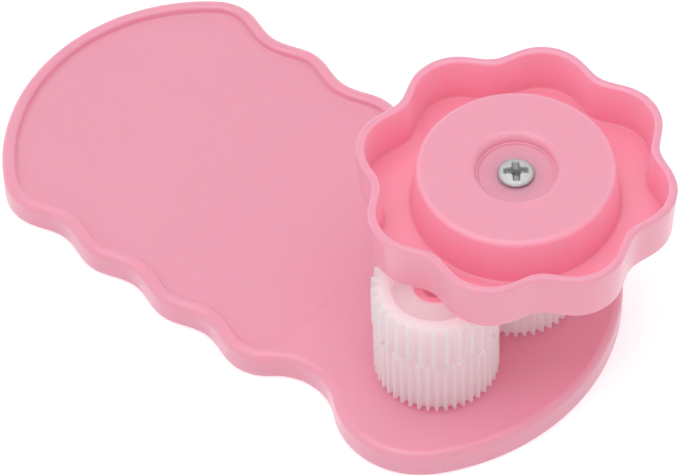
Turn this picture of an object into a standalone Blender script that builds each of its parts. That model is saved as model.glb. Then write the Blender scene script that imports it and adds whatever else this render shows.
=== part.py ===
"""Paper crimper: a scalloped handle with two pairs of toothed rollers and a lobed hand knob.

Lengths in the table below are millimetres and angles are degrees. X runs along the handle towards
the rollers, Y across it and Z up. The handle's outline is drawn about its own centre line, with the
rollers at X = 0, and the whole object then moves so that its frame's origin is under the middle of
its bounding box, on the table.
"""
import math

import bmesh
import bpy
from mathutils import Matrix, Vector

MM = 0.001

# Handle outline, seen from above
TIP_END_X = -100.85
GEAR_END_X = 21.95
CREST_Y = 30.5
FIRST_CREST_X = -81.0
LAST_CREST_X = -29.4
FINGER_WAVES = 3
FINGER_DEPTH = 1.95
CORNER_R = 9.3
NECK_R = 10.6
BULGE_X = 1.0
BULGE_Y = 31.0
BULGE_R = 15.5

# Handle heights, walls and rounds
BASE_H = 5.35
SKIRT_T = 2.0
FLOOR_T = 1.8
EDGE_ROUND = 1.4
RIM_W = 2.5
POCKET_DEPTH = 1.45
POCKET_FILLET = 0.7
STEP_X = -23.55
STEP_CORNER = 2.4
RIB_T = 1.2
RIB_LIFT = 0.6
RIB_START = 10.85
RIB_SPACING = 17.0
OUTLINE_STEP = 2.2

# Roller axes and posts
AXIS_GAP = 21.3
AXIS_SHIFT_Y = 0.5
COLLAR_R = 6.5
COLLAR_H = 0.35
IDLER_POST_R = 3.7
IDLER_POST_BORE_R = 2.2
IDLER_POST_TOP = 26.9
DRIVE_POST_R = 2.7
DRIVE_NECK_R = 1.95
DRIVE_NECK_LEN = 4.2
PILOT_R = 1.15
PILOT_LEN = 15.0
CORE_R = 1.6
CORE_TOP = 15.0
BOSS_R = 5.0

# Toothed rollers: each is a fine gear with a coarse gear on top of it
SEAT_GAP = 0.3
RUN_CLEARANCE = 0.2
FINE_TEETH = 42
FINE_TIP_R = 10.95
FINE_ROOT_R = 9.95
FINE_TIP_W = 0.50
FINE_ROOT_W = 0.84
FINE_H = 11.85
COARSE_TEETH = 30
COARSE_TIP_R = 11.15
COARSE_ROOT_R = 9.75
COARSE_TIP_W = 0.72
COARSE_ROOT_W = 1.30
COARSE_H = 9.45
TOOTH_CHAMFER = 0.15
FINE_GAP_ANGLE = -44.8
COARSE_GAP_ANGLE = -45.2
DISH_R = 7.9
DISH_DEPTH = 2.2
HUB_FOOT_R = 7.0
HUB_TOP_R = 4.9
HUB_DROP = 0.3

# Hexagonal sleeve of the knob
HEX_FLATS = 8.4
HEX_CLEARANCE = 0.15

# Knob
KNOB_GAP = 1.7
KNOB_H = 10.2
KNOB_R = 26.75
KNOB_BOTTOM_R = 26.1
KNOB_LOBES = 8
LOBE_HEIGHT = 1.52
LOBE_SHARPNESS = 0.16
VALLEY_ANGLE = 4.0
KNOB_WALL = 1.6
KNOB_FLOOR = 1.2
KNOB_EDGE = 0.55
KNOB_FOOT_ROUND = 0.6
BOSS_TOP_R = 17.2
BOSS_DRAFT = 0.85
BOSS_DROP = 0.1
BOSS_ROUND = 1.0
RECESS_R = 7.05
RECESS_DEPTH = 2.0
RECESS_ROUND = 0.9
HUB_TUBE_R = 5.3
KNOB_SHELL = 2.0
KNOB_RIBS = 6
KNOB_STEPS = 96

# Screw
HEAD_R = 3.15
HEAD_SIDE = 0.55
HEAD_H = 1.35
HEAD_GAP = 0.2
SHANK_R = 0.95
SHANK_LEN = 12.0
CROSS_LEN = 4.2
CROSS_W = 0.8
CROSS_DEPTH = 0.8
CROSS_TURN = 43.0

ROUND_STEPS = 48
SMALL_STEPS = 24

# Heights worked out from the sizes above
POCKET_Z = BASE_H - POCKET_DEPTH
COLLAR_Z = BASE_H + COLLAR_H
FINE_Z = COLLAR_Z + SEAT_GAP
COARSE_Z = FINE_Z + FINE_H + SEAT_GAP
ROLLER_TOP = COARSE_Z + COARSE_H
KNOB_Z = ROLLER_TOP + KNOB_GAP
KNOB_TOP = KNOB_Z + KNOB_H
KNOB_FLOOR_Z = KNOB_Z + KNOB_FLOOR
BOSS_TOP = KNOB_TOP - BOSS_DROP
RECESS_Z = BOSS_TOP - RECESS_DEPTH
HEAD_Z = RECESS_Z + SEAT_GAP
DRIVE_POST_TOP = HEAD_Z - HEAD_GAP
NECK_Z = DRIVE_POST_TOP - DRIVE_NECK_LEN
IDLER_Y = AXIS_SHIFT_Y - AXIS_GAP / 2
DRIVEN_Y = AXIS_SHIFT_Y + AXIS_GAP / 2

PINK = (0.86, 0.36, 0.46)
WHITE_NYLON = (0.86, 0.78, 0.79)
NICKEL = (0.72, 0.72, 0.70)


def clear_scene():
    for item in list(bpy.data.objects):
        bpy.data.objects.remove(item, do_unlink=True)


def new_collection(name):
    group = bpy.data.collections.new(name)
    bpy.context.scene.collection.children.link(group)
    return group


def make_material(name, colour, roughness, metallic=0.0):
    material = bpy.data.materials.new(name)
    material.use_nodes = True
    shader = material.node_tree.nodes["Principled BSDF"]
    shader.inputs["Base Color"].default_value = (*colour, 1.0)
    shader.inputs["Roughness"].default_value = roughness
    shader.inputs["Metallic"].default_value = metallic
    return material


def keep_in(item, group):
    for other in list(item.users_collection):
        other.objects.unlink(item)
    group.objects.link(item)
    return item


def as_cutter(item):
    keep_in(item, CUTTERS)
    item.hide_render = True
    item.display_type = "WIRE"
    return item


def mesh_object(name, mesh):
    item = bpy.data.objects.new(name, mesh)
    bpy.context.scene.collection.objects.link(item)
    return item


def arc(centre_x, centre_y, radius, start, end, step=OUTLINE_STEP):
    """Points along an arc, in degrees, without its last point."""
    count = max(2, round(abs(math.radians(end - start)) * radius / step))
    points = []
    for index in range(count):
        angle = math.radians(start + (end - start) * index / count)
        points.append((centre_x + radius * math.cos(angle), centre_y + radius * math.sin(angle)))
    return points


def direction(start, end):
    return math.degrees(math.atan2(end[1] - start[1], end[0] - start[0]))


def end_radius(reach, corner_y, corner_r):
    """Radius of an end arc, centred on the handle's axis, that runs smoothly into a corner arc."""
    return (reach ** 2 + corner_y ** 2 - corner_r ** 2) / (2 * (reach - corner_r))


def between_arcs(first, first_r, second, second_r, radius):
    """Centre of the hollow arc that touches two outer arcs, on the side away from the axis."""
    along = Vector(second) - Vector(first)
    gap = along.length
    ahead = ((first_r + radius) ** 2 - (second_r + radius) ** 2 + gap ** 2) / (2 * gap)
    aside = math.sqrt((first_r + radius) ** 2 - ahead ** 2)
    along.normalize()
    return (first[0] + along.x * ahead - along.y * aside, first[1] + along.y * ahead + along.x * aside)


def side_outline():
    """The handle's edge on the +Y side, from the tip end to the gear end."""
    tip_radius = end_radius(FIRST_CREST_X - TIP_END_X, CREST_Y - CORNER_R, CORNER_R)
    end_arc = end_radius(GEAR_END_X - BULGE_X, BULGE_Y - BULGE_R, BULGE_R)
    tip_centre = (TIP_END_X + tip_radius, 0.0)
    corner_centre = (FIRST_CREST_X, CREST_Y - CORNER_R)
    last_centre = (LAST_CREST_X, CREST_Y - CORNER_R)
    bulge_centre = (BULGE_X, BULGE_Y - BULGE_R)
    end_centre = (GEAR_END_X - end_arc, 0.0)
    neck_centre = between_arcs(last_centre, CORNER_R, bulge_centre, BULGE_R, NECK_R)
    tip_turn = direction(tip_centre, corner_centre)
    neck_turn = direction(neck_centre, last_centre)
    bulge_turn = direction(neck_centre, bulge_centre)
    end_turn = direction(end_centre, bulge_centre)
    points = arc(*tip_centre, tip_radius, 180.0, tip_turn)
    points += arc(*corner_centre, CORNER_R, tip_turn, 90.0)
    span = LAST_CREST_X - FIRST_CREST_X
    count = round(span / OUTLINE_STEP)
    for index in range(count):
        share = index / count
        wave = math.cos(2 * math.pi * FINGER_WAVES * share)
        points.append((FIRST_CREST_X + span * share, CREST_Y - FINGER_DEPTH * (1 - wave) / 2))
    points += arc(*last_centre, CORNER_R, 90.0, neck_turn + 180.0)
    points += arc(*neck_centre, NECK_R, neck_turn, bulge_turn)
    points += arc(*bulge_centre, BULGE_R, bulge_turn + 180.0, end_turn)
    points += arc(*end_centre, end_arc, end_turn, 0.0)
    return points + [(GEAR_END_X, 0.0)]


def handle_outline():
    """The whole edge, clockwise from the tip end."""
    side = side_outline()
    return side + [(x, -y) for x, y in reversed(side[1:-1])]


def moved_in(points, distance):
    """A clockwise outline moved inwards by a distance."""
    result = []
    count = len(points)
    for index, (x, y) in enumerate(points):
        before = points[index - 1]
        after = points[(index + 1) % count]
        along = Vector((after[0] - before[0], after[1] - before[1])).normalized()
        result.append((x + along.y * distance, y - along.x * distance))
    return result


def pocket_outline():
    """The pocket's edge: the handle's edge moved in, closed by a straight step with round corners."""
    inner = moved_in(handle_outline(), RIM_W)
    turn_x = STEP_X - STEP_CORNER
    upper = [point for point in inner if point[0] < turn_x and point[1] > 0]
    fall = math.atan2(upper[-2][1] - upper[-1][1], upper[-1][0] - upper[-2][0])
    radius = (STEP_X - upper[-1][0]) / (1 - math.sin(fall))
    centre = (STEP_X - radius, upper[-1][1] - radius * math.cos(fall))
    upper += arc(*centre, radius, 90.0 - math.degrees(fall), 0.0, step=1.0)[1:]
    upper.append((STEP_X, centre[1]))
    tip = (min(x for x, y in inner), 0.0)
    return [tip] + upper + [(x, -y) for x, y in reversed(upper)]


def plate(name, loops, low, high):
    """A flat solid between two heights, from outlines: the first is its edge, the rest are holes."""
    curve = bpy.data.curves.new(name, "CURVE")
    curve.dimensions = "2D"
    curve.fill_mode = "BOTH"
    curve.extrude = (high - low) / 2 * MM
    for loop in loops:
        spline = curve.splines.new("POLY")
        spline.points.add(len(loop) - 1)
        for point, (x, y) in zip(spline.points, loop):
            point.co = (x * MM, y * MM, 0.0, 1.0)
        spline.use_cyclic_u = True
    drawn = mesh_object(name + "_curve", curve)
    bpy.context.view_layer.update()
    seen = drawn.evaluated_get(bpy.context.evaluated_depsgraph_get())
    mesh = bpy.data.meshes.new_from_object(seen)
    bpy.data.objects.remove(drawn, do_unlink=True)
    mesh.name = name
    form = bmesh.new()
    form.from_mesh(mesh)
    bmesh.ops.remove_doubles(form, verts=form.verts, dist=0.001 * MM)
    bmesh.ops.dissolve_limit(form, angle_limit=math.radians(0.1), verts=form.verts, edges=form.edges)
    bmesh.ops.recalc_face_normals(form, faces=form.faces)
    bmesh.ops.translate(form, vec=(0.0, 0.0, (low + high) / 2 * MM), verts=form.verts)
    form.to_mesh(mesh)
    form.free()
    return mesh_object(name, mesh)


def round_rim(item, height, width, segments):
    """Rounds the edges of a plate that lie at one height."""
    form = bmesh.new()
    form.from_mesh(item.data)
    edges = [edge for edge in form.edges
             if all(abs(vert.co.z - height * MM) < 0.001 * MM for vert in edge.verts)
             and edge.is_manifold and edge.calc_face_angle(0.0) > math.radians(45)]
    bmesh.ops.bevel(form, geom=edges, offset=width * MM, segments=segments, profile=0.5,
                    affect="EDGES", clamp_overlap=True)
    form.to_mesh(item.data)
    form.free()


def turned(name, profile, steps=ROUND_STEPS):
    """A solid turned about Z from a profile that runs down its outer side and touches the axis."""
    mesh = bpy.data.meshes.new(name)
    count = len(profile)
    mesh.from_pydata([(r * MM, 0.0, z * MM) for r, z in profile],
                     [(index, index + 1) for index in range(count - 1)], [])
    item = mesh_object(name, mesh)
    screw = item.modifiers.new("Turn", "SCREW")
    screw.steps = steps
    screw.render_steps = steps
    screw.use_merge_vertices = True
    screw.merge_threshold = 0.000005
    bpy.context.view_layer.update()
    seen = item.evaluated_get(bpy.context.evaluated_depsgraph_get())
    solid = bpy.data.meshes.new_from_object(seen)
    item.modifiers.clear()
    item.data = solid
    return item


def cylinder(name, radius, low, high, steps=SMALL_STEPS, turn=0.0):
    mesh = bpy.data.meshes.new(name)
    form = bmesh.new()
    bmesh.ops.create_cone(form, cap_ends=True, segments=steps, radius1=radius * MM,
                          radius2=radius * MM, depth=(high - low) * MM)
    move = Matrix.Translation((0.0, 0.0, (low + high) / 2 * MM))
    bmesh.ops.transform(form, matrix=move @ Matrix.Rotation(math.radians(turn), 4, "Z"), verts=form.verts)
    form.to_mesh(mesh)
    form.free()
    return mesh_object(name, mesh)


def box(name, low, high, turn=0.0):
    mesh = bpy.data.meshes.new(name)
    form = bmesh.new()
    bmesh.ops.create_cube(form, size=1.0)
    size = [(b - a) * MM for a, b in zip(low, high)]
    middle = [(a + b) / 2 * MM for a, b in zip(low, high)]
    place = Matrix.Rotation(math.radians(turn), 4, "Z") @ Matrix.Translation(middle)
    bmesh.ops.transform(form, matrix=place @ Matrix.Diagonal((*size, 1.0)), verts=form.verts)
    form.to_mesh(mesh)
    form.free()
    return mesh_object(name, mesh)


def combine(item, other, operation):
    """Adds a Boolean modifier; the other solid goes with the cutters."""
    as_cutter(other)
    modifier = item.modifiers.new(other.name, "BOOLEAN")
    modifier.operation = operation
    modifier.solver = "EXACT"
    modifier.object = other


def cut(item, other):
    combine(item, other, "DIFFERENCE")


def join(item, other):
    combine(item, other, "UNION")


def shifted(item, x, y):
    item.data.transform(Matrix.Translation((x * MM, y * MM, 0.0)))
    return item


def hollow_under(item):
    """Cuts the two levels of the hollow below the handle, which leaves the skirt and the floors."""
    inner = moved_in(handle_outline(), SKIRT_T)
    level_x = STEP_X + FLOOR_T
    for name, loop, roof in (
        ("pocket_hollow", [point for point in inner if point[0] < level_x], POCKET_Z - FLOOR_T),
        ("gear_hollow", [point for point in inner if point[0] > level_x - OUTLINE_STEP], BASE_H - SKIRT_T),
    ):
        cut(item, plate(name, [loop], -BASE_H, roof))


def add_ribs(item):
    """Cross ribs and one long rib under the pocket, and ribs from the posts to the skirt."""
    reach = CREST_Y - FINGER_DEPTH - SKIRT_T / 2
    pocket_roof = POCKET_Z - FLOOR_T / 2
    tip_radius = end_radius(FIRST_CREST_X - TIP_END_X, CREST_Y - CORNER_R, CORNER_R)
    x = TIP_END_X + RIB_START
    while x < STEP_X - RIB_SPACING / 2:
        off = min(0.0, x - TIP_END_X - tip_radius)
        far = min(reach, math.sqrt(tip_radius ** 2 - off ** 2) - SKIRT_T / 2)
        join(item, box("cross_rib", (x - RIB_T / 2, -far, RIB_LIFT), (x + RIB_T / 2, far, pocket_roof)))
        x += RIB_SPACING
    join(item, box("long_rib", (TIP_END_X + SKIRT_T / 2, -RIB_T / 2, RIB_LIFT + 0.1),
                   (GEAR_END_X - SKIRT_T / 2, RIB_T / 2, pocket_roof - 0.1)))
    end_roof = BASE_H - SKIRT_T / 2
    join(item, box("post_rib", (-RIB_T / 2, IDLER_Y + BOSS_R - 0.5, RIB_LIFT + 0.2),
                   (RIB_T / 2, DRIVEN_Y - BOSS_R + 0.5, end_roof)))


def add_posts(item):
    """The two hollow posts, each with a collar above the floor and a boss below it."""
    seat_z = BASE_H - SKIRT_T / 2
    for name, y in (("idler", IDLER_Y), ("drive", DRIVEN_Y)):
        cut(item, shifted(cylinder(name + "_opening", BOSS_R - 1.0, -1.0, BASE_H + 1.0), 0.0, y))
    foot = [(COLLAR_R, COLLAR_Z), (COLLAR_R, seat_z), (BOSS_R, seat_z), (BOSS_R, RIB_LIFT)]
    idler = turned("idler_post", [
        (IDLER_POST_BORE_R, IDLER_POST_TOP), (IDLER_POST_R - 0.4, IDLER_POST_TOP),
        (IDLER_POST_R, IDLER_POST_TOP - 0.4), (IDLER_POST_R, COLLAR_Z), *foot,
        (IDLER_POST_BORE_R, RIB_LIFT), (IDLER_POST_BORE_R, IDLER_POST_TOP)])
    join(item, shifted(idler, 0.0, IDLER_Y))
    pilot_z = DRIVE_POST_TOP - PILOT_LEN
    drive = turned("drive_post", [
        (0.0, pilot_z), (PILOT_R, pilot_z), (PILOT_R, DRIVE_POST_TOP), (DRIVE_NECK_R, DRIVE_POST_TOP),
        (DRIVE_NECK_R, NECK_Z), (DRIVE_POST_R, NECK_Z), (DRIVE_POST_R, COLLAR_Z), *foot,
        (CORE_R, RIB_LIFT), (CORE_R, CORE_TOP), (0.0, CORE_TOP)])
    join(item, shifted(drive, 0.0, DRIVEN_Y))


def make_base():
    item = plate("base_handle", [handle_outline()], 0.0, BASE_H)
    round_rim(item, BASE_H, EDGE_ROUND, 3)
    pocket = plate("pocket", [pocket_outline()], POCKET_Z, BASE_H + 2.0)
    round_rim(pocket, POCKET_Z, POCKET_FILLET, 2)
    cut(item, pocket)
    hollow_under(item)
    add_ribs(item)
    add_posts(item)
    return item


def gear_outline(teeth, tip_r, root_r, tip_w, root_w, gap_angle):
    """A spur outline with straight flanks and chamfered tips, and a gap centred on gap_angle."""
    pitch = 360.0 / teeth
    points = []
    for index in range(teeth):
        centre = math.radians(gap_angle + (index + 0.5) * pitch)
        shape = ((root_r, -root_w / 2), (tip_r - TOOTH_CHAMFER, -tip_w / 2), (tip_r, -tip_w / 2 + TOOTH_CHAMFER),
                 (tip_r, tip_w / 2 - TOOTH_CHAMFER), (tip_r - TOOTH_CHAMFER, tip_w / 2), (root_r, root_w / 2))
        for radius, side in shape:
            angle = centre + math.asin(side / radius)
            points.append((radius * math.cos(angle), radius * math.sin(angle)))
    return points


def round_loop(radius, steps):
    return [(radius * math.cos(2 * math.pi * i / steps), radius * math.sin(2 * math.pi * i / steps))
            for i in range(steps)]


def mated_gap(gap_angle, teeth):
    """The gap angle of the gear at +Y that meshes with one at -Y, mirrored about the line between."""
    return -gap_angle + 180.0 / teeth


def idler_bore():
    return round_loop(IDLER_POST_R + RUN_CLEARANCE, ROUND_STEPS)


def hex_socket():
    return round_loop((HEX_FLATS / 2 + HEX_CLEARANCE) / math.cos(math.pi / 6), 6)


def make_fine_gear(name, gap_angle, bore):
    outline = gear_outline(FINE_TEETH, FINE_TIP_R, FINE_ROOT_R, FINE_TIP_W, FINE_ROOT_W, gap_angle)
    return plate(name, [outline, bore], FINE_Z, FINE_Z + FINE_H)


def make_coarse_gear(name, gap_angle, bore):
    """The upper gear, with a dished top round a tapered hub."""
    outline = gear_outline(COARSE_TEETH, COARSE_TIP_R, COARSE_ROOT_R, COARSE_TIP_W, COARSE_ROOT_W, gap_angle)
    item = plate(name, [outline, bore], COARSE_Z, ROLLER_TOP)
    hub_top = ROLLER_TOP - HUB_DROP
    dish_z = ROLLER_TOP - DISH_DEPTH
    dish = turned(name + "_dish", [(0.0, ROLLER_TOP + 1.0), (DISH_R, ROLLER_TOP + 1.0), (DISH_R, ROLLER_TOP),
                                   (DISH_R - 0.2, dish_z), (HUB_FOOT_R, dish_z), (HUB_TOP_R, hub_top),
                                   (0.0, hub_top)])
    cut(item, dish)
    return item


def lobe(angle):
    """Radial wave of the knob: -1 in a valley and +1 on a lobe, with a little of its second harmonic."""
    turn = KNOB_LOBES * (angle - math.radians(VALLEY_ANGLE))
    return -math.cos(turn) - LOBE_SHARPNESS / LOBE_HEIGHT * math.cos(2 * turn)


def lobed_loft(name, stations, steps=KNOB_STEPS):
    """A closed solid through lobed rings (mean radius, height), capped at both ends."""
    form = bmesh.new()
    rings = []
    for radius, height in stations:
        ring = []
        for index in range(steps):
            angle = 2 * math.pi * index / steps
            reach = radius + LOBE_HEIGHT * lobe(angle)
            ring.append(form.verts.new((reach * math.cos(angle) * MM, reach * math.sin(angle) * MM, height * MM)))
        rings.append(ring)
    for lower, upper in zip(rings, rings[1:]):
        for index in range(steps):
            after = (index + 1) % steps
            form.faces.new((lower[index], lower[after], upper[after], upper[index]))
    form.faces.new(list(reversed(rings[0])))
    form.faces.new(rings[-1])
    mesh = bpy.data.meshes.new(name)
    form.to_mesh(mesh)
    form.free()
    return mesh_object(name, mesh)


def knob_dish():
    """The scalloped wall with its lip, and the floor of the channel."""
    inner_top = KNOB_R - KNOB_WALL
    inner_foot = KNOB_BOTTOM_R - KNOB_WALL + 0.2
    foot = KNOB_FOOT_ROUND
    return lobed_loft("knob_dish", [
        (KNOB_BOTTOM_R - foot, KNOB_Z), (KNOB_BOTTOM_R - 0.3 * foot, KNOB_Z + 0.3 * foot),
        (KNOB_BOTTOM_R, KNOB_Z + foot), (KNOB_R, KNOB_TOP - KNOB_EDGE),
        (KNOB_R - 0.3 * KNOB_EDGE, KNOB_TOP - 0.3 * KNOB_EDGE), (KNOB_R - KNOB_EDGE, KNOB_TOP),
        (inner_top + KNOB_EDGE, KNOB_TOP), (inner_top + 0.3 * KNOB_EDGE, KNOB_TOP - 0.3 * KNOB_EDGE),
        (inner_top, KNOB_TOP - KNOB_EDGE), (inner_foot, KNOB_FLOOR_Z + foot),
        (inner_foot - 0.3 * foot, KNOB_FLOOR_Z + 0.3 * foot), (inner_foot - foot, KNOB_FLOOR_Z)])


def knob_boss():
    """The round boss in the middle of the knob."""
    foot_r = BOSS_TOP_R + BOSS_DRAFT
    return turned("knob_boss", [
        (0.0, BOSS_TOP), (BOSS_TOP_R - BOSS_ROUND, BOSS_TOP),
        (BOSS_TOP_R - 0.6 * BOSS_ROUND, BOSS_TOP - 0.08 * BOSS_ROUND),
        (BOSS_TOP_R - 0.3 * BOSS_ROUND, BOSS_TOP - 0.3 * BOSS_ROUND),
        (BOSS_TOP_R, BOSS_TOP - BOSS_ROUND), (foot_r, KNOB_FLOOR_Z), (foot_r, KNOB_FLOOR_Z - KNOB_FLOOR / 2),
        (0.0, KNOB_FLOOR_Z - KNOB_FLOOR / 2)], steps=KNOB_STEPS // 2)


def make_knob():
    """The knob about its own axis, with its shell, hub tube, ribs and hexagonal sleeve."""
    item = knob_dish()
    item.name = "hand_knob"
    join(item, knob_boss())
    cut(item, turned("knob_recess", [
        (0.0, BOSS_TOP + 1.0), (RECESS_R + RECESS_ROUND, BOSS_TOP + 1.0),
        (RECESS_R + RECESS_ROUND, BOSS_TOP), (RECESS_R + 0.4 * RECESS_ROUND, BOSS_TOP - 0.2 * RECESS_ROUND),
        (RECESS_R, BOSS_TOP - RECESS_ROUND), (RECESS_R - 0.1, RECESS_Z + 0.3), (RECESS_R - 0.4, RECESS_Z),
        (0.0, RECESS_Z)]))
    cavity_r = BOSS_TOP_R - KNOB_SHELL
    deep_r = RECESS_R + KNOB_SHELL
    cavity = turned("knob_cavity", [
        (0.0, BOSS_TOP - KNOB_SHELL), (cavity_r, BOSS_TOP - KNOB_SHELL), (cavity_r, KNOB_Z - 1.0),
        (0.0, KNOB_Z - 1.0)])
    cut(cavity, turned("knob_core", [
        (0.0, BOSS_TOP), (deep_r, BOSS_TOP), (deep_r, RECESS_Z - KNOB_SHELL),
        (HUB_TUBE_R - 0.6, RECESS_Z - KNOB_SHELL), (HUB_TUBE_R - 0.6, KNOB_Z - 2.0),
        (0.0, KNOB_Z - 2.0)]))
    for index in range(KNOB_RIBS):
        cut(cavity, box("knob_rib_%d" % index, (0.0, -RIB_T / 2, KNOB_Z + 1.0),
                        (BOSS_TOP_R + 1.0, RIB_T / 2, BOSS_TOP + 1.0),
                        turn=360.0 * index / KNOB_RIBS + 15.0))
    cut(item, cavity)
    shoulder = ROLLER_TOP - HUB_DROP + SEAT_GAP
    join(item, cylinder("hub_tube", HUB_TUBE_R, shoulder, RECESS_Z - KNOB_SHELL / 2, steps=ROUND_STEPS))
    join(item, cylinder("hex_sleeve", HEX_FLATS / 2 / math.cos(math.pi / 6), FINE_Z, KNOB_Z, steps=6, turn=90.0))
    cut(item, turned("sleeve_bore", [
        (0.0, BOSS_TOP + 1.0), (DRIVE_NECK_R + RUN_CLEARANCE, BOSS_TOP + 1.0),
        (DRIVE_NECK_R + RUN_CLEARANCE, NECK_Z + SEAT_GAP), (DRIVE_POST_R + RUN_CLEARANCE, NECK_Z + SEAT_GAP),
        (DRIVE_POST_R + RUN_CLEARANCE, FINE_Z - 1.0), (0.0, FINE_Z - 1.0)], steps=SMALL_STEPS * 2))
    return item


def make_screw():
    """Pan head with a cross recess, and a plain core for the thread."""
    crown = HEAD_Z + HEAD_H
    item = turned("knob_screw", [
        (0.0, crown), (0.45 * HEAD_R, crown - 0.1), (0.8 * HEAD_R, crown - 0.4),
        (HEAD_R, HEAD_Z + HEAD_SIDE), (HEAD_R, HEAD_Z), (SHANK_R, HEAD_Z),
        (SHANK_R, HEAD_Z - SHANK_LEN + 1.5), (0.0, HEAD_Z - SHANK_LEN)], steps=SMALL_STEPS)
    for index, (length, width) in enumerate(((CROSS_LEN, CROSS_W), (CROSS_W, CROSS_LEN))):
        slot = box("cross_%d" % index, (-length / 2, -width / 2, crown - CROSS_DEPTH),
                   (length / 2, width / 2, crown + 1.0), turn=CROSS_TURN)
        cut(item, slot)
    return item


def finish(item, name, parent, material, y):
    """Puts a sub-part on its parent, with its own origin on its axis."""
    item.name = name
    item.data.name = name
    keep_in(item, PARTS)
    item.data.materials.clear()
    item.data.materials.append(material)
    item.parent = parent
    item.location = (0.0, y * MM, 0.0)
    for modifier in item.modifiers:
        modifier.object.parent = parent
        modifier.object.location = item.location
        for inner in modifier.object.modifiers:
            inner.object.parent = parent
            inner.object.location = item.location
    item.data.shade_smooth()
    item.data.set_sharp_from_angle(angle=math.radians(30))


def frame_shift():
    """Moves the middle of the bounding box, seen from above, to the origin."""
    angles = [2 * math.pi * index / KNOB_STEPS for index in range(KNOB_STEPS)]
    reaches = [KNOB_R + LOBE_HEIGHT * lobe(angle) for angle in angles]
    high_x = max(reach * math.cos(angle) for reach, angle in zip(reaches, angles))
    high_y = DRIVEN_Y + max(reach * math.sin(angle) for reach, angle in zip(reaches, angles))
    low_y = -max(y for x, y in side_outline())
    return (-(TIP_END_X + high_x) / 2, -(low_y + high_y) / 2)


clear_scene()
PARTS = new_collection("paper_crimper")
CUTTERS = new_collection("cutters")

pink = make_material("pink_gloss_plastic", PINK, 0.35)
nylon = make_material("white_nylon", WHITE_NYLON, 0.45)
nickel = make_material("nickel_plated_steel", NICKEL, 0.25, 1.0)

origin = bpy.data.objects.new("table_centre", None)
PARTS.objects.link(origin)
shift_x, shift_y = frame_shift()
origin.location = (shift_x * MM, shift_y * MM, 0.0)

finish(make_base(), "base_handle", origin, pink, 0.0)
finish(make_fine_gear("idler_fine_gear", FINE_GAP_ANGLE, idler_bore()),
       "idler_fine_gear", origin, nylon, IDLER_Y)
finish(make_coarse_gear("idler_coarse_gear", COARSE_GAP_ANGLE, idler_bore()),
       "idler_coarse_gear", origin, nylon, IDLER_Y)
finish(make_fine_gear("driven_fine_gear", mated_gap(FINE_GAP_ANGLE, FINE_TEETH), hex_socket()),
       "driven_fine_gear", origin, nylon, DRIVEN_Y)
finish(make_coarse_gear("driven_coarse_gear", mated_gap(COARSE_GAP_ANGLE, COARSE_TEETH), hex_socket()),
       "driven_coarse_gear", origin, nylon, DRIVEN_Y)
finish(make_knob(), "hand_knob", origin, pink, DRIVEN_Y)
finish(make_screw(), "knob_screw", origin, nickel, DRIVEN_Y)

print("shift %.4f, %.4f" % (shift_x, shift_y))
print("idler axis %.4f, %.4f" % (shift_x, IDLER_Y + shift_y))
print("driven axis %.4f, %.4f" % (shift_x, DRIVEN_Y + shift_y))
print("knob %.3f to %.3f, floor %.3f, boss %.3f, recess %.3f, head %.3f, post %.3f, neck %.3f"
      % (KNOB_Z, KNOB_TOP, KNOB_FLOOR_Z, BOSS_TOP, RECESS_Z, HEAD_Z, DRIVE_POST_TOP, NECK_Z))
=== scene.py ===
"""Looks for the paper crimper: pink handle and knob, toothed nylon rollers, screw, light and camera."""
import math

import bmesh
import bpy
from mathutils import Matrix, Vector


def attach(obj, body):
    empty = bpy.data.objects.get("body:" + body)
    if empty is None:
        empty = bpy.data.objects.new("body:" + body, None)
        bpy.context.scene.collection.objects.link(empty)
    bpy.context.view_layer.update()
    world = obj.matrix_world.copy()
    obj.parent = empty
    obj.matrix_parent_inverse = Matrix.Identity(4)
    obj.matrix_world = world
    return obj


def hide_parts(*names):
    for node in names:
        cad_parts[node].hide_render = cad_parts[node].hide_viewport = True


MM = 0.001
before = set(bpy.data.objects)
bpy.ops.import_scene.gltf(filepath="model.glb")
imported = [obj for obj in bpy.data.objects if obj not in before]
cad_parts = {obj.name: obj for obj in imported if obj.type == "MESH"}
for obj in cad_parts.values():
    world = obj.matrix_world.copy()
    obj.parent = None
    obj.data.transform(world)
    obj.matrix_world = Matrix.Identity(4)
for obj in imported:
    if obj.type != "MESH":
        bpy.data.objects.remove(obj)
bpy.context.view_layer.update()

# Camera, solved from the photograph: millimetres and degrees
CAM_TARGET = (2.3386, -0.1087, 0.0)
CAM_DISTANCE = 904.86
CAM_AZIMUTH = 42.86
CAM_ELEVATION = 50.86
CAM_ROLL = -2.06
CAM_LENS = 267.2

# Handle, in millimetres and degrees, drawn with the rollers at X = 0 and then shifted
SHIFT = (36.8776, -3.6257)
TIP_END_X = -100.85
GEAR_END_X = 21.95
CREST_Y = 30.5
FIRST_CREST_X = -81.0
LAST_CREST_X = -29.4
FINGER_WAVES = 3
FINGER_DEPTH = 1.95
CORNER_R = 9.3
NECK_R = 10.6
BULGE_X = 1.0
BULGE_Y = 31.0
BULGE_R = 15.5
OUTLINE_STEP = 0.6

BASE_H = 5.35
SKIRT_T = 2.0
EDGE_ROUND = 1.4
FOOT_ROUND = 0.3
RIM_W = 2.5
RIM_ROUND = 0.75
POCKET_Z = 3.9
POCKET_FILLET = 0.7
STEP_X = -23.55
STEP_CORNER = 2.4
STEP_ROUND = 0.4
ROOF_POCKET = 2.1
ROOF_GEAR = 3.2
RIB_T = 1.2
RIB_FOOT_Z = 0.6
LONG_RIB_FOOT_Z = 0.7
BRIDGE_FOOT_Z = 0.8
RIB_FIRST_X = -90.0
RIB_SPACING = 17.0
RIB_COUNT = 4

# How far a rib reaches into what it meets, and a post over the hole that it stands in
RIB_LAP = 0.3
POST_LAP = 0.5

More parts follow.
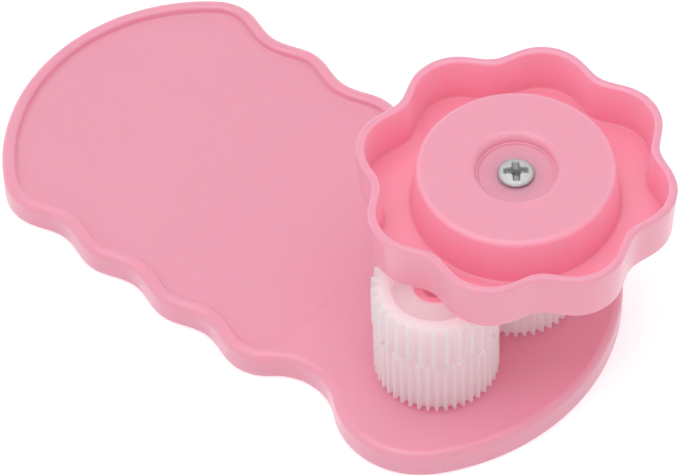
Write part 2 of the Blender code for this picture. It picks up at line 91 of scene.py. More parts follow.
# Posts that carry the rollers
IDLER_Y = -10.15
DRIVEN_Y = 11.15
POST_FOOT_Z = 0.6
FOOT_R = 5.0
COLLAR_R = 6.5
COLLAR_FOOT_Z = 4.2
COLLAR_Z = 5.7
COLLAR_EDGE = 0.2
IDLER_POST_R = 3.7
IDLER_BORE_R = 2.2
IDLER_POST_TOP = 26.9
POST_EDGE = 0.45
# Depth of the idler post's top that gets the painted glow
LIT_TOP = 1.0
DRIVE_POST_R = 2.7
DRIVE_NECK_R = 1.95
DRIVE_POST_TOP = 37.5
DRIVE_CORE_R = 1.6
DRIVE_CORE_TOP = 15.0
SCREW_PILOT_R = 1.15
SCREW_PILOT_FOOT = 22.0
NECK_Z = 33.3

# Rollers
FINE_TEETH = 42
FINE_Z = 6.0
FINE_TOP = 18.11
FINE_TIP_R = 10.95
FINE_ROOT_R = 9.95
FINE_TIP_W = 0.50
FINE_ROOT_W = 0.84
FINE_GAP_ANGLE = -44.8
COARSE_TEETH = 30
COARSE_Z = 18.14
COARSE_TOP = 27.6
COARSE_TIP_R = 11.15
COARSE_ROOT_R = 9.75
COARSE_TIP_W = 0.72
COARSE_ROOT_W = 1.30
COARSE_GAP_ANGLE = -45.2
RIM_INNER_R = 9.2
END_CHAMFER = 0.12
HEX_FLATS = 8.4
HEX_PLAY = 0.3
IDLER_BORE = 3.9

# Knob
KNOB_Z = 29.3
KNOB_TOP = 39.5
KNOB_R = 26.75
KNOB_BOTTOM_R = 26.1
LOBES = 8
LOBE_HEIGHT = 1.52
LOBE_SHARPNESS = 0.16
VALLEY_ANGLE = 4.0
WALL = 1.6
LIP_ROUND = 0.6
FOOT_LIP = 0.55
CHANNEL_Z = 30.5
CHANNEL_FILLET = 0.5
CHANNEL_DRAFT = 0.2
BOSS_TOP_R = 17.2
BOSS_FOOT_R = 18.05
BOSS_TOP = 39.4
BOSS_ROUND = 1.0
RECESS_R = 6.85
RECESS_Z = 37.4
RECESS_ROUND = 1.5
RECESS_DRAFT = 0.2
RECESS_FILLET = 0.45
SCREW_HOLE_R = 2.15
SCREW_HOLE_EDGE = 0.15
SLEEVE_BORE_R = 2.9
NECK_PLAY = 0.3
SLEEVE_R = 5.3
HUB_R = 9.05
KNOB_SHELL = 2.0
KNOB_RIBS = 6
KNOB_RIB_ANGLE = 15.0
KNOB_STEPS = 288

# Screw
HEAD_Z = 37.7
CROSS_TURN = 43.0
CROSS_TOP = 1.2
CROSS_TOP_SIZE = (5.6, 1.7)
CROSS_FLOOR = 0.12
CROSS_FLOOR_SIZE = (3.3, 0.8)

# Painted glow: emission that stands in for light the plastics let through, and how far each part of the knob
# gathers it
INNER_GLOW = (0.02, 0.01, 0.012, 1.0)
UNDER_GLOW = (0.2, 0.08, 0.1, 1.0)
CHANNEL_GLOW = (0.14, 0.075, 0.095, 1.0)
FLOOR_SHARE = 0.1
TOOTH_TIP_GLOW = (0.08, 0.06, 0.062, 1.0)
TOOTH_ROOT_GLOW = (0.15, 0.115, 0.12, 1.0)
PLASTIC_DEPTH = (0.002, 0.0006, 0.0007)
NYLON_DEPTH = (0.02, 0.012, 0.012)
PLASTIC_ROUGHNESS = 0.34
TOOTH_SOFTNESS = 0.5

# How far from the screw's axis the recess looks greyer, and where the crown gives way to the painted shade
# down in the cross
GREY_REACH = 8.5
CROWN_H = 0.86
CROWN_FALL = 0.045

FLOOR_GLOW = 0.45
WORLD_LEVEL = 0.62


# Node trees

class Wire:
    """A socket in a node tree. Arithmetic on it adds Math nodes."""

    def __init__(self, tree, socket):
        self.tree = tree
        self.socket = socket

    def math(self, operation, *values):
        return self.tree.add("ShaderNodeMath", {"operation": operation}, dict(enumerate(values)))

    def __add__(self, other):
        return self.math("ADD", self, other)

    def __radd__(self, other):
        return self.math("ADD", other, self)

    def __sub__(self, other):
        return self.math("SUBTRACT", self, other)

    def __rsub__(self, other):
        return self.math("SUBTRACT", other, self)

    def __mul__(self, other):
        return self.math("MULTIPLY", self, other)

    def __rmul__(self, other):
        return self.math("MULTIPLY", other, self)

    def __truediv__(self, other):
        return self.math("DIVIDE", self, other)


class Tree:
    """A node tree that is filled one node at a time."""

    def __init__(self, tree):
        self.tree = tree

    def add(self, kind, settings=None, sockets=None, output=0):
        node = self.tree.nodes.new(kind)
        for key, value in (settings or {}).items():
            setattr(node, key, value)
        for key, value in (sockets or {}).items():
            self.put(node.inputs[key], value)
        return Wire(self, node.outputs[output])

    def put(self, socket, value):
        if isinstance(value, Wire):
            self.tree.links.new(value.socket, socket)
        else:
            socket.default_value = value

    def parts(self, vector):
        """The three numbers of a vector."""
        split = self.tree.nodes.new("ShaderNodeSeparateXYZ")
        self.put(split.inputs[0], vector)
        return [Wire(self, socket) for socket in split.outputs]


class Growth(Tree):
    """A geometry tree with named inputs, which ends in Realize Instances and Set Material."""

    def __init__(self, name, **inputs):
        super().__init__(bpy.data.node_groups.new(name, "GeometryNodeTree"))
        face = self.tree.interface
        face.new_socket("Geometry", in_out="OUTPUT", socket_type="NodeSocketGeometry")
        face.new_socket("Geometry", in_out="INPUT", socket_type="NodeSocketGeometry")
        face.new_socket("Material", in_out="INPUT", socket_type="NodeSocketMaterial")
        for key, value in inputs.items():
            kind = "NodeSocketInt" if isinstance(value, int) else "NodeSocketFloat"
            face.new_socket(key, in_out="INPUT", socket_type=kind).default_value = value
        entry = self.tree.nodes.new("NodeGroupInput")
        self.inputs = {socket.name: Wire(self, socket) for socket in entry.outputs if socket.name}

    def end(self, geometry):
        whole = self.add("GeometryNodeRealizeInstances", {}, {"Geometry": geometry})
        dressed = self.add("GeometryNodeSetMaterial", {}, {
            "Geometry": whole, "Material": self.inputs["Material"]})
        last = self.tree.nodes.new("NodeGroupOutput")
        self.tree.links.new(dressed.socket, last.inputs["Geometry"])

    def grow(self, form, material, **values):
        """The plain mesh that the tree makes of a form."""
        mesh = bpy.data.meshes.new("seed")
        form.to_mesh(mesh)
        form.free()
        seed = bpy.data.objects.new("seed", mesh)
        bpy.context.scene.collection.objects.link(seed)
        modifier = seed.modifiers.new("Growth", "NODES")
        modifier.node_group = self.tree
        values["Material"] = material
        for item in self.tree.interface.items_tree:
            if item.in_out == "INPUT" and item.name in values:
                modifier[item.identifier] = values[item.name]
        grown = bpy.data.meshes.new_from_object(seed.evaluated_get(bpy.context.evaluated_depsgraph_get()))
        seed.modifiers.remove(modifier)
        bpy.data.objects.remove(seed, do_unlink=True)
        return grown


def round_growth():
    """Repeats one tooth or rib evenly round the Z axis."""
    tree = Growth("repeat_round_axis", Count=8, Start=0.0)
    count = tree.inputs["Count"]
    points = tree.add("GeometryNodeMeshLine", {"mode": "OFFSET"}, {"Count": count, "Offset": (0.0, 0.0, 0.0)})
    turn = tree.inputs["Start"] + tree.add("GeometryNodeInputIndex") * 2 * math.pi / count
    rotation = tree.add("ShaderNodeCombineXYZ", {}, {"Z": turn})
    tree.end(tree.add("GeometryNodeInstanceOnPoints", {}, {
        "Points": points, "Instance": tree.inputs["Geometry"], "Rotation": rotation}))
    return tree


def rib_growth():
    """A row of cross ribs along the handle, each as long as the outline there allows."""
    tree = Growth("cross_rib_row", Count=4, First=0.0, Spacing=1.0, Reach=1.0, TipCentre=0.0, TipRadius=1.0,
                  Inset=1.0)
    given = tree.inputs
    along = given["First"] + tree.add("GeometryNodeInputIndex") * given["Spacing"]
    points = tree.add("GeometryNodeMeshLine", {"mode": "OFFSET"}, {
        "Count": given["Count"], "Offset": (0.0, 0.0, 0.0)})
    spot = tree.add("ShaderNodeCombineXYZ", {}, {"X": along})
    placed = tree.add("GeometryNodeSetPosition", {}, {"Geometry": points, "Position": spot})
    off = along - given["TipCentre"]
    before = off.math("MINIMUM", off, 0.0)
    square = given["TipRadius"] * given["TipRadius"] - before * before
    length = square.math("MINIMUM", square.math("SQRT", square) - given["Inset"], given["Reach"])
    scale = tree.add("ShaderNodeCombineXYZ", {}, {"X": 1.0, "Y": length, "Z": 1.0})
    tree.end(tree.add("GeometryNodeInstanceOnPoints", {}, {
        "Points": placed, "Instance": given["Geometry"], "Scale": scale}))
    return tree


def lobe_growth():
    """Draws the knob's turned form in and out along its lobes, as far as each ring follows them."""
    tree = Growth("knob_lobes", Lobes=8, Height=1.0, Sharpness=0.1, Valley=0.0)
    x, y, z = tree.parts(tree.add("GeometryNodeInputPosition"))
    radius = x.math("SQRT", x * x + y * y)
    turn = tree.inputs["Lobes"] * (x.math("ARCTAN2", y, x) - tree.inputs["Valley"])
    wave = tree.inputs["Height"] * turn.math("COSINE", turn)
    drop = wave + tree.inputs["Sharpness"] * turn.math("COSINE", turn * 2)
    follow = tree.add("GeometryNodeInputNamedAttribute", {"data_type": "FLOAT"}, {"Name": "follow"})
    share = 1 - follow * drop / radius.math("MAXIMUM", radius, 0.01)
    spot = tree.add("ShaderNodeCombineXYZ", {}, {"X": x * share, "Y": y * share, "Z": z})
    tree.end(tree.add("GeometryNodeSetPosition", {}, {"Geometry": tree.inputs["Geometry"], "Position": spot}))
    return tree


# Mesh helpers

def add_loft(form, rings, round_on=True, closed=False, cap_start=False, cap_end=False):
    """Quads between rings of equal length; anticlockwise rings rising outside give outward normals."""
    made = [[form.verts.new(point) for point in ring] for ring in rings]
    pairs = list(zip(made, made[1:]))
    if closed:
        pairs.append((made[-1], made[0]))
    for lower, upper in pairs:
        for index in range(len(lower) if round_on else len(lower) - 1):
            after = (index + 1) % len(lower)
            form.faces.new((lower[index], lower[after], upper[after], upper[index]))
    if cap_start:
        form.faces.new(list(reversed(made[0])))
    if cap_end:
        form.faces.new(made[-1])
    return made


def circle(radius, z, angles):
    return [(radius * math.cos(a), radius * math.sin(a), z) for a in angles]


def even(count):
    return [2 * math.pi * index / count for index in range(count)]


def rounding(radius, count, start, end):
    """Points of a rounding about the origin, from one angle to another, in degrees."""
    points = []
    for index in range(count + 1):
        angle = math.radians(start + (end - start) * index / count)
        points.append((radius * math.cos(angle), radius * math.sin(angle)))
    return points


def add_turned(form, profile, count=64, y=0.0):
    """A turned ring from a closed profile of (radius, height)."""
    angles = even(count)
    add_loft(form, [[(px, py + y, pz) for px, py, pz in circle(radius, height, angles)]
                    for radius, height in profile], closed=True)


def add_box(form, low, high):
    """A box between two opposite corners."""
    middle = Vector([(a + b) / 2 for a, b in zip(low, high)])
    size = [b - a for a, b in zip(low, high)]
    bmesh.ops.create_cube(form, size=1.0, matrix=Matrix.Translation(middle) @ Matrix.Diagonal((*size, 1.0)))


def finished(name, forms, y=0.0, angle=32.0):
    """One smooth object in the frame from forms or grown meshes in millimetres about their own axis."""
    whole = bmesh.new()
    for form in forms:
        if isinstance(form, bmesh.types.BMesh):
            mesh = bpy.data.meshes.new("part")
            form.to_mesh(mesh)
            form.free()
            form = mesh
        whole.from_mesh(form)
        bpy.data.meshes.remove(form)
    bmesh.ops.remove_doubles(whole, verts=whole.verts, dist=0.002)
    whole.transform(Matrix.Scale(MM, 4) @ Matrix.Translation((SHIFT[0], SHIFT[1] + y, 0.0)))
    mesh = bpy.data.meshes.new(name)
    whole.to_mesh(mesh)
    whole.free()
    item = bpy.data.objects.new(name, mesh)
    bpy.context.scene.collection.objects.link(item)
    mesh.shade_smooth()
    mesh.set_sharp_from_angle(angle=math.radians(angle))
    weighted = item.modifiers.new("Normals", "WEIGHTED_NORMAL")
    weighted.keep_sharp = True
    return item


# Handle

def arc(centre, radius, start, end, step=OUTLINE_STEP):
    """Points of an arc without its last one, so that the next arc begins there."""
    count = max(2, round(abs(math.radians(end - start)) * radius / step))
    return [(centre[0] + x, centre[1] + y) for x, y in rounding(radius, count, start, end)[:-1]]


def direction(start, end):
    """The direction from one point to another, in degrees."""
    return math.degrees(math.atan2(end[1] - start[1], end[0] - start[0]))


def end_radius(reach, corner_y, corner_r):
    """Radius of an end arc, centred on the handle's axis, that runs smoothly into a corner arc."""
    return (reach ** 2 + corner_y ** 2 - corner_r ** 2) / (2 * (reach - corner_r))


def between_arcs(first, first_r, second, second_r, radius):
    """Centre of the hollow arc that touches two outer arcs, on the side away from the axis."""
    along = Vector(second) - Vector(first)
    gap = along.length
    ahead = ((first_r + radius) ** 2 - (second_r + radius) ** 2 + gap ** 2) / (2 * gap)
    aside = math.sqrt((first_r + radius) ** 2 - ahead ** 2)
    along.normalize()
    return (first[0] + along.x * ahead - along.y * aside, first[1] + along.y * ahead + along.x * aside)


def side_outline():
    """The handle's edge on the +Y side, from the tip end to the gear end."""
    end_arc = end_radius(GEAR_END_X - BULGE_X, BULGE_Y - BULGE_R, BULGE_R)
    tip_arc = end_radius(FIRST_CREST_X - TIP_END_X, CREST_Y - CORNER_R, CORNER_R)
    tip_centre = (TIP_END_X + tip_arc, 0.0)
    corner_centre = (FIRST_CREST_X, CREST_Y - CORNER_R)
    last_centre = (LAST_CREST_X, CREST_Y - CORNER_R)
    bulge_centre = (BULGE_X, BULGE_Y - BULGE_R)
    end_centre = (GEAR_END_X - end_arc, 0.0)
    neck_centre = between_arcs(last_centre, CORNER_R, bulge_centre, BULGE_R, NECK_R)
    tip_turn = direction(tip_centre, corner_centre)
    neck_turn = direction(neck_centre, last_centre)
    bulge_turn = direction(neck_centre, bulge_centre)
    end_turn = direction(end_centre, bulge_centre)
    points = arc(tip_centre, tip_arc, 180.0, tip_turn)
    points += arc(corner_centre, CORNER_R, tip_turn, 90.0)
    span = LAST_CREST_X - FIRST_CREST_X
    count = round(span / OUTLINE_STEP)
    for index in range(count):
        share = index / count
        wave = math.cos(2 * math.pi * FINGER_WAVES * share)
        points.append((FIRST_CREST_X + span * share, CREST_Y - FINGER_DEPTH * (1 - wave) / 2))
    points += arc(last_centre, CORNER_R, 90.0, neck_turn + 180.0)
    points += arc(neck_centre, NECK_R, neck_turn, bulge_turn)
    points += arc(bulge_centre, BULGE_R, bulge_turn + 180.0, end_turn)
    points += arc(end_centre, end_arc, end_turn, 0.0)
    return points + [(GEAR_END_X, 0.0)]


def handle_outline():
    """The whole edge, anticlockwise from the gear end."""
    side = side_outline()
    return list(reversed(side + [(x, -y) for x, y in reversed(side[1:-1])]))


def moved_by(points, distances):
    """An anticlockwise outline with each point moved inwards by its own distance."""
    result = []
    count = len(points)
    for index, (x, y) in enumerate(points):
        before = points[index - 1]
        after = points[(index + 1) % count]
        along = Vector((after[0] - before[0], after[1] - before[1])).normalized()
        result.append((x - along.y * distances[index], y + along.x * distances[index]))
    return result


def moved_in(points, distance):
    """An anticlockwise outline moved inwards all round."""
    return moved_by(points, [distance] * len(points))


def pocket_outline():
    """The pocket's edge: the handle's edge moved in, closed by a straight step with round corners."""
    inner = moved_in(handle_outline(), RIM_W)
    turn_x = STEP_X - STEP_CORNER
    upper = sorted(point for point in inner if point[0] < turn_x and point[1] > 0)
    fall = math.atan2(upper[-2][1] - upper[-1][1], upper[-1][0] - upper[-2][0])
    radius = (STEP_X - upper[-1][0]) / (1 - math.sin(fall))
    centre = (STEP_X - radius, upper[-1][1] - radius * math.cos(fall))
    upper += arc(centre, radius, 90.0 - math.degrees(fall), 0.0, step=0.4)[1:]
    upper.append((STEP_X, centre[1]))
    tip = (min(x for x, y in inner), 0.0)
    return list(reversed([tip] + upper + [(x, -y) for x, y in reversed(upper)]))


def at(points, z):
    """An outline set at a height."""
    return [(x, y, z) for x, y in points]


def fill(form, loops, up=True):
    """A flat face between an outer loop of vertices and the loops of its holes."""
    edges = []
    for loop in loops:
        edges += [form.edges.get(pair) or form.edges.new(pair) for pair in zip(loop, loop[1:] + loop[:1])]
    made = bmesh.ops.triangle_fill(form, edges=edges, use_beauty=True)
    for item in made["geom"]:
        if isinstance(item, bmesh.types.BMFace):
            item.normal_update()
            if (item.normal.z > 0) != up:
                item.normal_flip()


def post_hole(form, radius, y, z):
    return [form.verts.new((px, py + y, pz)) for px, py, pz in circle(radius, z, even(64))]


def turned_to_start(loop, is_start):
    """The same loop of vertices, begun at the first one that the test accepts."""
    start = next(index for index in range(len(loop)) if is_start(loop[index - 1].co, loop[index].co))
    return loop[start:] + loop[:start]


def crosses_below_the_level(before, here):
    return here.x < 0 and before.y * here.y < 0


def crosses_above_the_pocket(before, here):
    return before.x > TIP_END_X / 2 and before.y < 0 < here.y


def make_shell():
    """The handle's moulded plate: round edge, crowned rim, pocket with its step, and the skirt's roof."""
    form = bmesh.new()
    outline = handle_outline()
    rings = [at(moved_in(outline, SKIRT_T), ROOF_POCKET), at(moved_in(outline, SKIRT_T - 0.05), 0.1),
             at(moved_in(outline, SKIRT_T - 0.15), 0.0)]
    rings += [at(moved_in(outline, FOOT_ROUND - dx), FOOT_ROUND + dz)
              for dx, dz in rounding(FOOT_ROUND, 3, -90.0, 0.0)]
    rings += [at(moved_in(outline, EDGE_ROUND - dx), BASE_H - EDGE_ROUND + dz)
              for dx, dz in rounding(EDGE_ROUND, 10, 0.0, 90.0)]
    made = add_loft(form, rings)
    pocket = pocket_outline()
    near_step = [min(1.0, max(0.0, (STEP_X - 0.3 - x) / 2.0)) for x, y in pocket]
    lips = [STEP_ROUND + (RIM_ROUND - STEP_ROUND) * share for share in near_step]
    walls = []
    for dx, dz in rounding(1.0, 8, 90.0, 0.0):
        moved = moved_by(pocket, [lip * (dx - 1.0) for lip in lips])
        walls.append([(x, y, BASE_H - lip * (1.0 - dz)) for (x, y), lip in zip(moved, lips)])
    walls += [at(moved_in(pocket, POCKET_FILLET - dx + 0.02), POCKET_Z + POCKET_FILLET - dz)
              for dx, dz in rounding(POCKET_FILLET, 6, 0.0, 90.0)]
    sunk = add_loft(form, walls)
    holes = [post_hole(form, COLLAR_R - POST_LAP, y, BASE_H) for y in (IDLER_Y, DRIVEN_Y)]
    fill(form, [made[-1], sunk[0], *holes])
    fill(form, [sunk[-1]])
    level_x = STEP_X + SKIRT_T
    high = turned_to_start([vert for vert in made[0] if vert.co.x >= level_x], crosses_below_the_level)
    low = turned_to_start([vert for vert in made[0] if vert.co.x < level_x], crosses_above_the_pocket)
    fill(form, [low + [high[0], high[-1]]], up=False)
    raised = [form.verts.new((vert.co.x, vert.co.y, ROOF_GEAR)) for vert in high]
    for index in range(len(high)):
        after = (index + 1) % len(high)
        form.faces.new((high[after], high[index], raised[index], raised[after]))
    roof_holes = [post_hole(form, FOOT_R - POST_LAP, y, ROOF_GEAR) for y in (IDLER_Y, DRIVEN_Y)]
    fill(form, [raised, *roof_holes], up=False)
    return form


def make_long_ribs():
    """The long rib under the handle, deeper below the level end, and the bridge between the posts."""
    form = bmesh.new()
    half = RIB_T / 2
    start_x = TIP_END_X + SKIRT_T / 2
    end_x = GEAR_END_X - SKIRT_T / 2
    add_box(form, (start_x, -half, LONG_RIB_FOOT_Z), (end_x, half, ROOF_POCKET + RIB_LAP))
    add_box(form, (STEP_X + SKIRT_T / 2, -half, ROOF_POCKET), (end_x, half, ROOF_GEAR + RIB_LAP))
    add_box(form, (-half, IDLER_Y + FOOT_R - RIB_LAP, BRIDGE_FOOT_Z),
            (half, DRIVEN_Y - FOOT_R + RIB_LAP, ROOF_GEAR + RIB_LAP))
    return form


def make_cross_ribs(material):
    """One rib of unit length, which the growth lengthens and repeats."""
    form = bmesh.new()
    add_box(form, (-RIB_T / 2, -1.0, RIB_FOOT_Z), (RIB_T / 2, 1.0, ROOF_POCKET + RIB_LAP))
    reach = CREST_Y - FINGER_DEPTH - SKIRT_T / 2
    tip_arc = end_radius(FIRST_CREST_X - TIP_END_X, CREST_Y - CORNER_R, CORNER_R)
    return rib_growth().grow(form, material, Count=RIB_COUNT, First=RIB_FIRST_X, Spacing=RIB_SPACING,
                             Reach=reach, TipCentre=TIP_END_X + tip_arc, TipRadius=tip_arc, Inset=SKIRT_T / 2)


def make_posts():
    """The two posts with their collars, and the bosses below them."""
    form = bmesh.new()
    gather = form.verts.layers.float.new("gathered_light")
    foot = [(FOOT_R, POST_FOOT_Z), (FOOT_R, COLLAR_FOOT_Z), (COLLAR_R, COLLAR_FOOT_Z),
            (COLLAR_R, COLLAR_Z - COLLAR_EDGE), (COLLAR_R - COLLAR_EDGE, COLLAR_Z)]
    add_turned(form, [
        (IDLER_BORE_R, POST_FOOT_Z), *foot, (IDLER_POST_R + 0.1, COLLAR_Z), (IDLER_POST_R, COLLAR_Z + 0.1),
        (IDLER_POST_R, IDLER_POST_TOP - POST_EDGE), (IDLER_POST_R - 0.13, IDLER_POST_TOP - 0.13),
        (IDLER_POST_R - POST_EDGE, IDLER_POST_TOP), (IDLER_BORE_R + 0.25, IDLER_POST_TOP),
        (IDLER_BORE_R + 0.07, IDLER_POST_TOP - 0.07), (IDLER_BORE_R, IDLER_POST_TOP - 0.25)], y=IDLER_Y)
    add_turned(form, [
        (DRIVE_CORE_R, DRIVE_CORE_TOP), (DRIVE_CORE_R, POST_FOOT_Z), *foot, (DRIVE_POST_R, COLLAR_Z),
        (DRIVE_POST_R, NECK_Z), (DRIVE_NECK_R, NECK_Z), (DRIVE_NECK_R, DRIVE_POST_TOP),
        (SCREW_PILOT_R, DRIVE_POST_TOP), (SCREW_PILOT_R, SCREW_PILOT_FOOT)], y=DRIVEN_Y)
    # Painted glow on the idler post's top, set through the gathered_light share
    for vert in form.verts:
        vert[gather] = 1.0 if vert.co.z > IDLER_POST_TOP - LIT_TOP else 0.0
    return form


def make_handle(material):
    forms = [make_shell(), make_long_ribs(), make_cross_ribs(material), make_posts()]
    return finished("handle_moulding", forms)


# Knob

def hexagon(flats, z, angles):
    """A hexagon across its flats, with a point at each of the angles."""
    points = []
    for angle in angles:
        off = (angle - math.radians(30.0)) % (math.pi / 3) - math.pi / 6
        reach = flats / 2 / math.cos(off)
        points.append((reach * math.cos(angle), reach * math.sin(angle), z))
    return points


def knob_wall():
    """The lobed wall and its channel fillet, as (radius, height, share of the painted glow)."""
    foot_r = KNOB_BOTTOM_R - FOOT_LIP
    lip_r = KNOB_R - LIP_ROUND
    inner_lip_r = KNOB_R - WALL + LIP_ROUND
    fillet_r = KNOB_BOTTOM_R - WALL + CHANNEL_DRAFT - CHANNEL_FILLET
    points = [(foot_r + dx, KNOB_Z + FOOT_LIP + dz, 0.0) for dx, dz in rounding(FOOT_LIP, 5, -90.0, 0.0)]
    points += [(lip_r + dx, KNOB_TOP - LIP_ROUND + dz, 0.0) for dx, dz in rounding(LIP_ROUND, 8, 0.0, 90.0)]
    points += [(inner_lip_r + dx, KNOB_TOP - LIP_ROUND + dz, -dx / LIP_ROUND)
               for dx, dz in rounding(LIP_ROUND, 8, 90.0, 180.0)]
    points += [(fillet_r + dx, CHANNEL_Z + CHANNEL_FILLET - dz, FLOOR_SHARE)
               for dx, dz in rounding(CHANNEL_FILLET, 5, 0.0, 90.0)]
    return points


def knob_middle():
    """The boss, the recess and the bores, as (radius, height, share of the painted glow)."""
    recess_r = RECESS_R - RECESS_DRAFT - RECESS_FILLET
    points = [(BOSS_FOOT_R + CHANNEL_FILLET - dx, CHANNEL_Z + CHANNEL_FILLET - dz, FLOOR_SHARE)
              for dx, dz in rounding(CHANNEL_FILLET, 5, 90.0, 0.0)]
    points += [(BOSS_TOP_R - BOSS_ROUND + dx, BOSS_TOP - BOSS_ROUND + dz, dx / BOSS_ROUND)
               for dx, dz in rounding(BOSS_ROUND, 10, 0.0, 90.0)]
    points += [(RECESS_R + RECESS_ROUND - dx, BOSS_TOP - RECESS_ROUND + dz, 0.0)
               for dx, dz in rounding(RECESS_ROUND, 8, 90.0, 0.0)]
    points += [(recess_r + dx, RECESS_Z + RECESS_FILLET - dz, 0.0)
               for dx, dz in rounding(RECESS_FILLET, 5, 0.0, 90.0)]
    points += [(SCREW_HOLE_R + SCREW_HOLE_EDGE, RECESS_Z, 0.0),
               (SCREW_HOLE_R, RECESS_Z - SCREW_HOLE_EDGE, 0.0),
               (SCREW_HOLE_R, NECK_Z + NECK_PLAY, 0.0),
               (SLEEVE_BORE_R, NECK_Z + NECK_PLAY, 0.0),
               (SLEEVE_BORE_R, FINE_Z, 0.0)]
    return points


def make_knob(material):
    """The knob as one closed turned form, wall to sleeve, drawn into lobes, and the ribs under it."""
    angles = even(KNOB_STEPS)
    wall = knob_wall()
    shown = wall + knob_middle()
    hub_top = RECESS_Z - KNOB_SHELL
    roof = BOSS_TOP - KNOB_SHELL
    cavity_r = BOSS_TOP_R - KNOB_SHELL
    inside = [(SLEEVE_R, COARSE_TOP), (SLEEVE_R, hub_top), (HUB_R, hub_top), (HUB_R, roof), (cavity_r, roof),
              (cavity_r, KNOB_Z)]
    form = bmesh.new()
    follow = form.verts.layers.float.new("follow")
    gather = form.verts.layers.float.new("gathered_light")
    # Share of a greyer pink on the recess floor near the screw's axis
    greyed = form.verts.layers.float.new("greyer_near_screw_axis")
    rings = [circle(radius, z, angles) for radius, z, share in shown]
    rings += [hexagon(HEX_FLATS, FINE_Z, angles), hexagon(HEX_FLATS, COARSE_TOP, angles)]
    rings += [circle(radius, z, angles) for radius, z in inside]
    made = add_loft(form, rings, closed=True)
    for ring in made[:len(wall)]:
        for vert in ring:
            vert[follow] = 1.0
    # Each ring's share of the painted glow
    for ring, (radius, z, share) in zip(made, shown):
        for vert in ring:
            vert[gather] = share
            near = min(1.0, 1.5 * (1.0 - radius / GREY_REACH))
            vert[greyed] = near if z < RECESS_Z + RECESS_FILLET / 2 else 0.0
    body = lobe_growth().grow(form, material, Lobes=LOBES, Height=LOBE_HEIGHT, Sharpness=LOBE_SHARPNESS,
                              Valley=math.radians(VALLEY_ANGLE))
    rib = bmesh.new()
    reach = cavity_r + RIB_LAP
    add_box(rib, (SLEEVE_R - RIB_LAP, -RIB_T / 2, KNOB_Z + 1.0), (reach, RIB_T / 2, hub_top + RIB_LAP))
    add_box(rib, (HUB_R + 0.25, -RIB_T / 2, hub_top - 1.0), (reach, RIB_T / 2, roof + RIB_LAP))
    ribs = round_growth().grow(rib, material, Count=KNOB_RIBS, Start=math.radians(KNOB_RIB_ANGLE))
    return finished("knob_moulding", [body, ribs], y=DRIVEN_Y)


# Rollers

def tooth(teeth, tip_r, root_r, tip_w, root_w):
    """(radius, angle) across one tooth, from the middle of one gap to the middle of the next."""
    half = math.pi / teeth
    flank = (tip_r - root_r) * 0.16
    side = [(root_r, -half),
            (root_r, -half / 2 - root_w / 4 / root_r),
            (root_r + 0.04, -root_w / 2 / root_r - 0.012),
            (root_r + flank, -(root_w / 2 - 0.05) / (root_r + flank)),
            (tip_r - flank * 1.3, -(tip_w / 2 + 0.015) / tip_r),
            (tip_r - flank * 0.45, -(tip_w / 2 - 0.035) / tip_r),
            (tip_r - 0.01, -(tip_w / 2 - 0.14) / tip_r)]
    return side + [(tip_r, 0.0)] + [(radius, -angle) for radius, angle in reversed(side)]


def make_roller(name, material, sizes, heights, gap_angle, y, bored, dish=None):
    """A toothed roller: one tooth repeated round the axis, eased on its outer end, and a turned middle."""
    teeth = sizes[0]
    low, high = heights
    profile = tooth(*sizes)
    angles = [angle for radius, angle in profile]

    def section(z, inset=0.0):
        return [((r - inset) * math.cos(a), (r - inset) * math.sin(a), z) for r, a in profile]

    if dish:
        ends = [section(low), section(high - 0.16), section(high - 0.04, 0.06), section(high, 0.18)]
    else:
        ends = [section(low, END_CHAMFER), section(low + END_CHAMFER), section(high)]
    one = bmesh.new()
    rings = [circle(RIM_INNER_R, low, angles), *ends, circle(RIM_INNER_R, high, angles)]
    add_loft(one, rings, round_on=False)
    start = math.radians(gap_angle) + math.pi / teeth
    rim = round_growth().grow(one, material, Count=teeth, Start=start)
    turns = [start + 2 * math.pi * index / teeth + angle for index in range(teeth) for angle in angles[:-1]]
    middle = [circle(radius, z, turns) for radius, z in [(RIM_INNER_R, high)] + (dish or [])]
    for z in ((dish[-1][1] if dish else high), low):
        middle.append(circle(IDLER_BORE, z, turns) if bored else hexagon(HEX_FLATS + HEX_PLAY, z, turns))
    middle.append(circle(RIM_INNER_R, low, turns))
    core = bmesh.new()
    add_loft(core, middle)
    return finished(name, [rim, core], y=y, angle=40.0)


def hub_dish(bored):
    """The coarse roller's dished end and hub, as (radius, height) from the rim inwards."""
    points = [(8.1, 0.0), (7.95, -0.06), (7.88, -0.2), (7.75, -1.8), (7.6, -2.1), (7.35, -2.2), (7.15, -2.15),
              (6.95, -2.0)]
    if bored:
        points += [(5.15, -0.15), (4.98, 0.06), (4.7, 0.2), (4.35, 0.2), (4.08, 0.08), (3.95, -0.1)]
    else:
        points += [(5.2, -0.55), (5.1, -0.38), (4.95, -0.3)]
    return [(radius, COARSE_TOP + rise) for radius, rise in points]


# Screw

